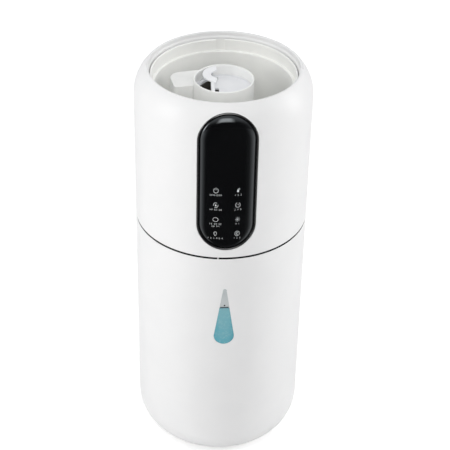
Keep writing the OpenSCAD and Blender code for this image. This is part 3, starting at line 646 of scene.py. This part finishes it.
def metal(slot, colour, roughness, lines=2200.0):
    """Bare metal with fine lines round the upright axis."""
    made, tree, links, shader = new_material(slot + "_finish")
    shader.inputs["Metallic"].default_value = 1.0
    streaks = noise(tree, links, lines, detail=3, stretch=(0.12, 0.12, 1.0))
    stain_and_shade = ramp_value(tree, links, noise(tree, links, 140.0, detail=4), 0.45, 0.8)
    tarnished = tuple(c * 0.72 for c in colour)
    links.new(mix_colour(tree, links, stain_and_shade, (*colour, 1), (*tarnished, 1)), shader.inputs["Base Color"])
    links.new(ramp_value(tree, links, streaks, 0.3, 0.7, roughness * 0.75, roughness * 1.35),
              shader.inputs["Roughness"])
    emboss(tree, links, shader, streaks, 0.08, 0.0002)
    return made


finishes["steel"] = metal("steel", (0.62, 0.62, 0.635), 0.3)
finishes["brass_ring"] = metal("brass_ring", (0.76, 0.56, 0.26), 0.28)
print("metals ready")

# %% [markdown]
# ## Circuit boards and filter foam
# A board is green lacquer over copper lines, which a brick texture draws well enough at
# this size. It is turned to stand upright, as the touch board does.

# %% Finish: circuit board
board, tree, links, shader = new_material("circuit_board_finish")
tracks = tree.new("ShaderNodeTexBrick")
tracks.inputs["Scale"].default_value = 190.0
tracks.inputs["Mortar Size"].default_value = 0.035
tracks.inputs["Color1"].default_value = (0.012, 0.10, 0.045, 1)
tracks.inputs["Color2"].default_value = (0.016, 0.125, 0.055, 1)
tracks.inputs["Mortar"].default_value = (0.05, 0.24, 0.10, 1)
turn = tree.new("ShaderNodeMapping")
turn.inputs["Rotation"].default_value = (math.radians(90), 0, 0)
links.new(object_place(tree), turn.inputs["Vector"])
links.new(turn.outputs[0], tracks.inputs["Vector"])
links.new(tracks.outputs["Color"], shader.inputs["Base Color"])
links.new(ramp_value(tree, links, noise(tree, links, 500.0), 0.3, 0.7, 0.28, 0.42), shader.inputs["Roughness"])
emboss(tree, links, shader, tracks.outputs["Fac"], 0.2, 0.0002)
finishes["circuit_board"] = board
print("circuit board ready")

# %% [markdown]
# The intake filter is open foam. Modelled pores would cost a million faces, so a cell
# texture makes them: sunk in the bump, and dark in colour as painted shade inside each pore, at the same places.

# %% Finish: open foam
foam, tree, links, shader = new_material("filter_foam_finish")
shader.inputs["Specular IOR Level"].default_value = 0.15
cells = tree.new("ShaderNodeTexVoronoi")
cells.inputs["Scale"].default_value = 900.0
links.new(object_place(tree), cells.inputs["Vector"])
pores = ramp_value(tree, links, cells.outputs["Distance"], 0.1, 0.6)
# painted shade: the colour is darkest at the middle of each pore
foam_colour = mix_colour(tree, links, pores, (0.012, 0.013, 0.014, 1), (0.075, 0.078, 0.082, 1))
links.new(foam_colour, shader.inputs["Base Color"])
links.new(ramp_value(tree, links, pores, 0.0, 1.0, 0.98, 0.82), shader.inputs["Roughness"])
emboss(tree, links, shader, pores, 0.8, 0.0006)
finishes["filter_foam"] = foam
print("foam ready")

# %% [markdown]
# ## Dressing the model
# The record names a material slot for every CAD node. One loop looks each slot up in the
# table of finishes, so no node is forgotten and no mesh is touched.

# %% Dress the CAD nodes
for row in frame["record"]["subparts"]:
    finish = finishes.get(row["material_slot"])
    if finish:
        for place in range(len(nodes[row["node"]].data.materials)):
            nodes[row["node"]].data.materials[place] = finish

# %% [markdown]
# ## Flat shapes that are bent onto the body
# The panel, its frame and the level window all follow the round body. It is far easier
# to draw them flat in the X-Z plane, where Y only says how deep a point lies, and to
# bend the finished shape onto the skin. Before bending, the flat face is cut into
# a fine grid, since a face can only bend where it has edges.

# %% Helpers for flat shapes
UPRIGHT = math.radians(90)


def turn_mesh(made, verts, angle, axis):
    """Turns part of a bmesh about an axis through the origin."""
    bmesh.ops.rotate(made, verts=verts, cent=(0, 0, 0), matrix=Matrix.Rotation(angle, 3, axis))


def slot_mesh(width, low, high, steps=128):
    """A flat upright slot in the X-Z plane: a circle whose upper half is lifted."""
    made = bmesh.new()
    bmesh.ops.create_circle(made, cap_ends=False, segments=steps, radius=width / 2)
    turn_mesh(made, made.verts, UPRIGHT, "X")
    upper = [v for v in made.verts if v.co.z > 1e-6]
    bmesh.ops.translate(made, verts=upper, vec=(0, 0, high - low - width))
    bmesh.ops.translate(made, verts=made.verts, vec=(0, 0, low + width / 2))
    bmesh.ops.contextual_create(made, geom=made.edges[:])
    made.normal_update()
    return made


def inset_rings(made, steps):
    """Insets the outline ring by ring; returns the face that is left in the middle."""
    face = made.faces[:]
    for step in steps:
        bmesh.ops.inset_region(made, faces=face, thickness=step, use_boundary=True, use_even_offset=True)
    return face[0]


def cut_grid(made, pitch):
    """Cuts a flat shape along upright and level lines, so that it can bend."""
    for axis in (0, 2):
        spots = [v.co[axis] for v in made.verts]
        count = int((max(spots) - min(spots)) / pitch)
        for i in range(1, count + 1):
            place, way = [0, 0, 0], [0, 0, 0]
            place[axis], way[axis] = min(spots) + i * (max(spots) - min(spots)) / (count + 1), 1
            bmesh.ops.bisect_plane(made, geom=made.verts[:] + made.edges[:] + made.faces[:], dist=1e-7,
                                   plane_co=place, plane_no=way)


print("flat shapes can be drawn and cut")

# %% [markdown]
# A flat shape becomes a piece in three steps: it is laid on the round skin, it gets a
# back, and the finished mesh is told which body it rides on.

# %% Helpers that bend and finish


def lay_on_body(made, surface_offset=0.0):
    """Bends a flat shape in the X-Z plane onto the round skin; its Y becomes depth below it."""
    for vert in made.verts:
        reach = body_surface(vert.co.z) - surface_offset - vert.co.y
        vert.co.y = -math.sqrt(reach ** 2 - vert.co.x ** 2)


def thicken(made, depth):
    """Turns the outer skin of a bent piece forwards and gives it a back, some way further in."""
    bmesh.ops.recalc_face_normals(made, faces=made.faces)
    if sum(f.normal.y for f in made.faces) > 0:
        bmesh.ops.reverse_faces(made, faces=made.faces)
    back = bmesh.ops.extrude_face_region(made, geom=made.faces[:], use_keep_orig=True)["geom"]
    for vert in back:
        if isinstance(vert, bmesh.types.BMVert):
            vert.co -= Vector((vert.co.x, vert.co.y, 0)).normalized() * depth


def finish_mesh(made, name, body, finish, smooth=True, replaces=None):
    """Turns a bmesh into a piece of the object that rides on a body."""
    bmesh.ops.recalc_face_normals(made, faces=made.faces)
    for face in made.faces:
        face.smooth = smooth
    data = bpy.data.meshes.new(name)
    made.to_mesh(data)
    made.free()
    piece = bpy.data.objects.new(name, data)
    scene.collection.objects.link(piece)
    data.materials.append(finish)
    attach(piece, body)
    if replaces:
        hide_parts(*replaces)
    print(name, len(data.polygons), "faces on", body)


print("bending helpers ready")

# %% [markdown]
# ## The glass of the touch panel
# The real panel is one sheet of smoked acrylic, bent to the round body and softly
# rounded along its whole edge, so it shows an upright light down each side. A
# CAD solid has a sharp edge, so the sheet is modelled again: the slot is inset ring by
# ring, and each ring is sunk by how near it lies to the edge.

# %% Model the bent glass
GLASS_ROUND = 6.8 * MM
GLASS_SINK = 3.0 * MM
GLASS_SKIN = 0.05 * MM
GLASS_THICK = 0.3 * MM
BEND_PITCH = 3 * MM
RINGS = [0.06, 0.1, 0.15, 0.2, 0.25, 0.3, 0.4, 0.5, 0.6, 0.7, 0.8, 0.9, 1.0, 1.0, 1.0, 1.0, 1.0]


def slot_depth(x, z, width, low, high):
    """How far a point of an upright slot lies inside its outline."""
    middle = min(max(z, low + width / 2), high - width / 2)
    return width / 2 - math.hypot(x, z - middle)


glass = slot_mesh(lens_width, lens_low.z, lens_high.z)
inset_rings(glass, [step * MM for step in RINGS])
cut_grid(glass, BEND_PITCH)
for vert in glass.verts:
    part = slot_depth(vert.co.x, vert.co.z, lens_width, lens_low.z, lens_high.z) / GLASS_ROUND
    vert.co.y = GLASS_SINK * (1 - math.sqrt(1 - (1 - min(1.0, max(0.0, part))) ** 2.3))
lay_on_body(glass, surface_offset=GLASS_SKIN)
thicken(glass, GLASS_THICK)
finish_mesh(glass, "touch_glass", "head", finishes["black_glass"], replaces=["touch_panel"])

# %% [markdown]
# ## The frame round the glass
# A thin rounded frame holds the glass. Its crest catches one fine line of light between
# two dark grooves. It is a slot again, inset to the width of the frame, with the middle
# taken out and each ring sunk like a half circle.

# %% Model the frame's crest
FRAME_WIDTH = 1.65 * MM
FRAME_SINK = 0.75 * MM
FRAME_GAP = 0.05 * MM
FRAME_DEPTH = 3.0 * MM
frame_outer = lens_width + 2 * (FRAME_WIDTH + FRAME_GAP)
frame_low, frame_high = lens_low.z - FRAME_WIDTH - FRAME_GAP, lens_high.z + FRAME_WIDTH + FRAME_GAP
crest = slot_mesh(frame_outer, frame_low, frame_high)
middle = inset_rings(crest, [FRAME_WIDTH * part for part in (0.04, 0.08, 0.12, 0.16, 0.2, 0.16, 0.12, 0.08, 0.04)])
bmesh.ops.delete(crest, geom=[middle], context="FACES")
cut_grid(crest, BEND_PITCH)
for vert in crest.verts:
    part = slot_depth(vert.co.x, vert.co.z, frame_outer, frame_low, frame_high) / FRAME_WIDTH
    vert.co.y = FRAME_SINK * (1 - math.sqrt(max(0.0, 1 - (2 * part - 1) ** 2)))
lay_on_body(crest)
thicken(crest, FRAME_DEPTH)
finish_mesh(crest, "panel_crest", "head", finishes["panel_frame"], replaces=["panel_bezel"])

# %% [markdown]
# ## Printed keys
# Eight keys are printed on the glass in pale grey. Each is a small sign that says what
# the key does, over plain numbers for its steps. A print is flat, so every sign is built
# from spun ribbons, discs and bars in the X-Z plane, given a hair of thickness and then
# bent onto the glass.

# %% Helpers that draw strokes
STROKE = 0.36 * MM


def ribbon(made, centre, radius, start, stop, width=STROKE, squash=1.0):
    """Part of a ring, spun from one short edge; the angles are degrees from +X."""
    inner = made.verts.new((radius - width / 2, 0, 0))
    outer = made.verts.new((radius + width / 2, 0, 0))
    edge = made.edges.new((inner, outer))
    turn_mesh(made, [inner, outer], math.radians(-start), "Y")
    steps = max(6, int(abs(stop - start) / 12))
    before = set(made.verts) - {inner, outer}
    bmesh.ops.spin(made, geom=[inner, outer, edge], cent=(0, 0, 0), axis=(0, 1, 0), steps=steps,
                   angle=math.radians(-(stop - start)), use_merge=(stop - start == 360), use_duplicate=False)
    new = [v for v in made.verts if v not in before]
    bmesh.ops.scale(made, verts=new, vec=(1, 1, squash))
    bmesh.ops.translate(made, verts=new, vec=(centre[0], 0, centre[1]))


def bar(made, start, stop, width=STROKE):
    """A straight stroke between two points."""
    length = math.hypot(stop[0] - start[0], stop[1] - start[1])
    turn = math.atan2(stop[1] - start[1], stop[0] - start[0])
    new = bmesh.ops.create_grid(made, x_segments=2, y_segments=1, size=0.5)["verts"]
    bmesh.ops.scale(made, verts=new, vec=(length, width, 1))
    turn_mesh(made, new, UPRIGHT, "X")
    turn_mesh(made, new, -turn, "Y")
    bmesh.ops.translate(made, verts=new, vec=((start[0] + stop[0]) / 2, 0, (start[1] + stop[1]) / 2))


def disc(made, centre, radius, peak=0.0):
    """A filled dot; with a peak its top point is pulled up into a drop."""
    new = bmesh.ops.create_circle(made, cap_ends=True, segments=20, radius=radius)["verts"]
    turn_mesh(made, new, UPRIGHT, "X")
    for vert in new:
        if vert.co.z > 0 and peak:
            rise = vert.co.z / radius
            vert.co.z += peak * rise ** 4
            vert.co.x *= 1 - 0.55 * rise ** 3
    bmesh.ops.translate(made, verts=new, vec=(centre[0], 0, centre[1]))


print("strokes are", STROKE / MM, "mm wide")

# %% [markdown]
# The numbers are set as text, and the text is made a mesh before it joins the sign. The
# whole print then gets its thickness and is bent onto the glass in one go.

# %% Helpers that set and bend a print
PRINT_SKIN = 0.012 * MM
PRINT_THICK = 0.025 * MM


def print_number(made, words, centre, height):
    """Plain numbers set in Blender's own face, centred under a sign."""
    text = bpy.data.curves.new("numerals", "FONT")
    text.body = words
    text.size = height / 0.7
    text.space_character = 1.2
    text.space_line = 0.95
    text.align_x = "CENTER"
    text.offset = -0.05 * MM
    text.resolution_u = 2
    holder = bpy.data.objects.new("numerals", text)
    scene.collection.objects.link(holder)
    flat = bpy.data.meshes.new_from_object(holder.evaluated_get(bpy.context.evaluated_depsgraph_get()))
    bpy.data.objects.remove(holder)
    flat.transform(Matrix.Rotation(math.radians(90), 4, "X"))
    flat.transform(Matrix.Translation((centre[0], 0, centre[1] - height)))
    made.from_mesh(flat)
    bpy.data.meshes.remove(flat)


def print_on_glass(made, name):
    """Gives the flat print its thickness, bends it onto the glass and finishes the piece."""
    bmesh.ops.remove_doubles(made, verts=made.verts, dist=0.001 * MM)
    bmesh.ops.dissolve_degenerate(made, edges=made.edges, dist=0.0005 * MM)
    for vert in made.verts:
        vert.co.y = 0.0
    front = made.faces[:]
    raised = bmesh.ops.extrude_face_region(made, geom=front, use_keep_orig=True)["geom"]
    for part in raised:
        if isinstance(part, bmesh.types.BMVert):
            part.co.y = PRINT_THICK
    lay_on_body(made, surface_offset=PRINT_SKIN)
    finish_mesh(made, name, "head", print_ink, smooth=False)


print_ink = plastic("print_ink", (0.82, 0.86, 0.87), 0.5, grain=1500, bump=0.02, dust=0.0)
print("print is", PRINT_THICK / MM, "mm thick")

# %% [markdown]
# Each sign gets a small function that draws it round the origin. The loop in the cell
# after this one carries it to its key.

# %% Draw a sign for each key
SIGN = 2.6 * MM
FINE_STROKE = 0.28 * MM


def sign_power(made):
    ribbon(made, (0, 0), SIGN, 125, 415)
    bar(made, (0, 0.3 * SIGN), (0, 1.25 * SIGN))


def sign_mist(made):
    disc(made, (-0.3 * MM, -0.9 * MM), 1.1 * MM, peak=1.6 * MM)
    bar(made, (0.3 * MM, 1.5 * MM), (1.6 * MM, 2.6 * MM))
    bar(made, (0.9 * MM, 0.6 * MM), (1.9 * MM, 1.4 * MM))


def sign_humidity(made):
    ribbon(made, (0, 0), SIGN, 60, 195)
    ribbon(made, (0, 0), SIGN, 240, 375)
    disc(made, (0, -0.4 * MM), 0.8 * MM, peak=0.8 * MM)


def sign_timer(made):
    ribbon(made, (0, 0), SIGN, 115, 425)
    bar(made, (0, -0.1 * MM), (0, 1.2 * MM), width=FINE_STROKE)
    bar(made, (0, 0), (1.0 * MM, 0.4 * MM), width=FINE_STROKE)


def sign_interval(made):
    ribbon(made, (0, 0), 1.1 * SIGN, 0, 360, squash=0.78)


def sign_lamp_ray(made):
    disc(made, (0, 0), 0.6 * MM)
    for turn in range(0, 360, 45):
        way = (math.cos(math.radians(turn)), math.sin(math.radians(turn)))
        bar(made, (1.2 * MM * way[0], 1.2 * MM * way[1]), (2.7 * MM * way[0], 2.7 * MM * way[1]), FINE_STROKE)


def sign_bulb(made):
    ribbon(made, (0, 0.6 * MM), 1.55 * MM, -50, 230)
    bar(made, (-1.0 * MM, -0.6 * MM), (-0.65 * MM, -1.9 * MM))
    bar(made, (1.0 * MM, -0.6 * MM), (0.65 * MM, -1.9 * MM))
    bar(made, (-0.75 * MM, -2.2 * MM), (0.75 * MM, -2.2 * MM))


def sign_sleep(made):
    ribbon(made, (0, 0), SIGN, 0, 360)
    ribbon(made, (0.2 * MM, 0), 1.1 * MM, 60, 300, width=0.4 * MM)


print("signs are", 2 * SIGN / MM, "mm across")

# %% [markdown]
# A table says which sign goes where and which numbers stand under it. The loop draws
# each key flat, narrows its sign a little and prints it. Adding a key takes one
# function and one line of the table.

# %% Print the eight keys
KEY_X = 10.3 * MM
KEY_RISES = [76.6 * MM, 60.6 * MM, 44.6 * MM, 28.6 * MM]
SIGN_NARROW = 0.84
NUMBER_DROP = 4.0 * MM
NUMBER_HEIGHT = 1.9 * MM
KEYS = [
    ("key_power", sign_power, -1, 0, "ON/OFF"), ("key_mist", sign_mist, 1, 0, "1 2 3"),
    ("key_humidity", sign_humidity, -1, 1, "40 50 60"), ("key_timer", sign_timer, 1, 1, "2 4 8"),
    ("key_interval", sign_interval, -1, 2, "15 30 45\n60 90"), ("key_ray_lamp", sign_lamp_ray, 1, 2, "0 1"),
    ("key_night_light", sign_bulb, -1, 3, "1 2 3 4 5 6"), ("key_sleep", sign_sleep, 1, 3, "1 2 3"),
]
for name, draw, side, row, words in KEYS:
    flat = bmesh.new()
    x, z = side * KEY_X, seam_height + KEY_RISES[row]
    draw(flat)
    bmesh.ops.scale(flat, verts=flat.verts, vec=(SIGN_NARROW, 1, 1))
    bmesh.ops.translate(flat, verts=flat.verts, vec=(x, 0, z))
    print_number(flat, words, (x, z - NUMBER_DROP), NUMBER_HEIGHT)
    print_on_glass(flat, name)

# %% [markdown]
# ## The level window
# The window is a drop: a round foot and a small blunt tip, joined by straight flanks. A
# circle holds this outline already, because each of its points knows which way it faces:
# those that face up past the flank are sent to the tip, the others stay at the foot.
# The lens is then inset, cut and bent like the glass, with a fine softened edge.

# %% Model the window lens
TIP_RADIUS = 1.7 * MM
LENS_SKIN = 0.05 * MM
LENS_EDGE, LENS_SINK = 0.9 * MM, 0.3 * MM
LENS_THICK = 1.5 * MM
drop_radius = (window_high.x - window_low.x) / 2
foot_centre = window_low.z + drop_radius
tip_centre = window_high.z - TIP_RADIUS
flank = (drop_radius - TIP_RADIUS) / (tip_centre - foot_centre)


def drop_depth(x, z):
    """How far a point lies inside the drop."""
    x, z, upright = abs(x), z - foot_centre, math.sqrt(1 - flank ** 2)
    along = upright * z - flank * x
    if along < 0:
        return drop_radius - math.hypot(x, z)
    if along > upright * (tip_centre - foot_centre):
        return TIP_RADIUS - math.hypot(x, z + foot_centre - tip_centre)
    return drop_radius - upright * x - flank * z


lens = bmesh.new()
bmesh.ops.create_circle(lens, cap_ends=False, segments=96, radius=1.0)
turn_mesh(lens, lens.verts, UPRIGHT, "X")
for vert in lens.verts:
    middle, radius = (tip_centre, TIP_RADIUS) if vert.co.z > flank else (foot_centre, drop_radius)
    vert.co = (vert.co.x * radius, 0, middle + vert.co.z * radius)
bmesh.ops.contextual_create(lens, geom=lens.edges[:])
lens.normal_update()
inset_rings(lens, [step * MM for step in (0.1, 0.15, 0.2, 0.25, 0.3)])
cut_grid(lens, 2 * MM)
for vert in lens.verts:
    part = min(1.0, max(0.0, drop_depth(vert.co.x, vert.co.z) / LENS_EDGE))
    vert.co.y = LENS_SINK * (1 - math.sqrt(1 - (1 - part) ** 2))
lay_on_body(lens, surface_offset=LENS_SKIN)
thicken(lens, LENS_THICK)
finish_mesh(lens, "window_lens", "bucket", finishes["level_window"], replaces=["level_window"])

# %% [markdown]
# ## The upper fill mark
# A dark line across the level window says how far to fill the bucket. It is printed on
# the lens, so it follows the round body like the keys do, with a small dot above it.

# %% Print the fill mark
MARK_HEIGHT = WATER_LINE + 0.9 * MM
mark = bmesh.new()
bar(mark, (-4.2 * MM, MARK_HEIGHT), (4.0 * MM, MARK_HEIGHT), width=1.1 * MM)
disc(mark, (0, MARK_HEIGHT + 2.2 * MM), 0.9 * MM)
cut_grid(mark, 1 * MM)
dark_ink = plastic("dark_ink", (0.02, 0.022, 0.025), 0.5, grain=1500, bump=0.02, dust=0.0)
lay_on_body(mark, surface_offset=LENS_SKIN - PRINT_THICK)
thicken(mark, PRINT_THICK)
finish_mesh(mark, "fill_mark", "bucket", dark_ink, smooth=False)

# %% [markdown]
# ## The rib in the seam
# The two shells do not touch: a dark ring shows between them, and one small moulded rib
# crosses it near the front, where the head finds its place on the bucket. It is a cube
# squeezed to size, softened along its edges and turned round the axis to where it sits.

# %% Model the rib
RIB_WIDTH, RIB_DEPTH = 0.9 * MM, 0.6 * MM
RIB_SUNK, RIB_EDGE = 0.1 * MM, 0.15 * MM
RIB_TURN = math.radians(-4.9)
rib_height = shell_low.z - bucket_high.z - RIB_SUNK
rib = bmesh.new()
bmesh.ops.create_cube(rib, size=1.0)
bmesh.ops.scale(rib, verts=rib.verts, vec=(RIB_WIDTH, RIB_DEPTH, rib_height))
bmesh.ops.bevel(rib, geom=rib.edges, offset=RIB_EDGE, offset_type="OFFSET", segments=2, profile=0.5,
                affect="EDGES", material=-1)
bmesh.ops.translate(rib, verts=rib.verts, vec=(0, -body_radius + RIB_DEPTH / 2 + RIB_SUNK, seam_height))
turn_mesh(rib, rib.verts, RIB_TURN, "Z")
finish_mesh(rib, "seam_rib", "bucket", finishes["white_shell"])
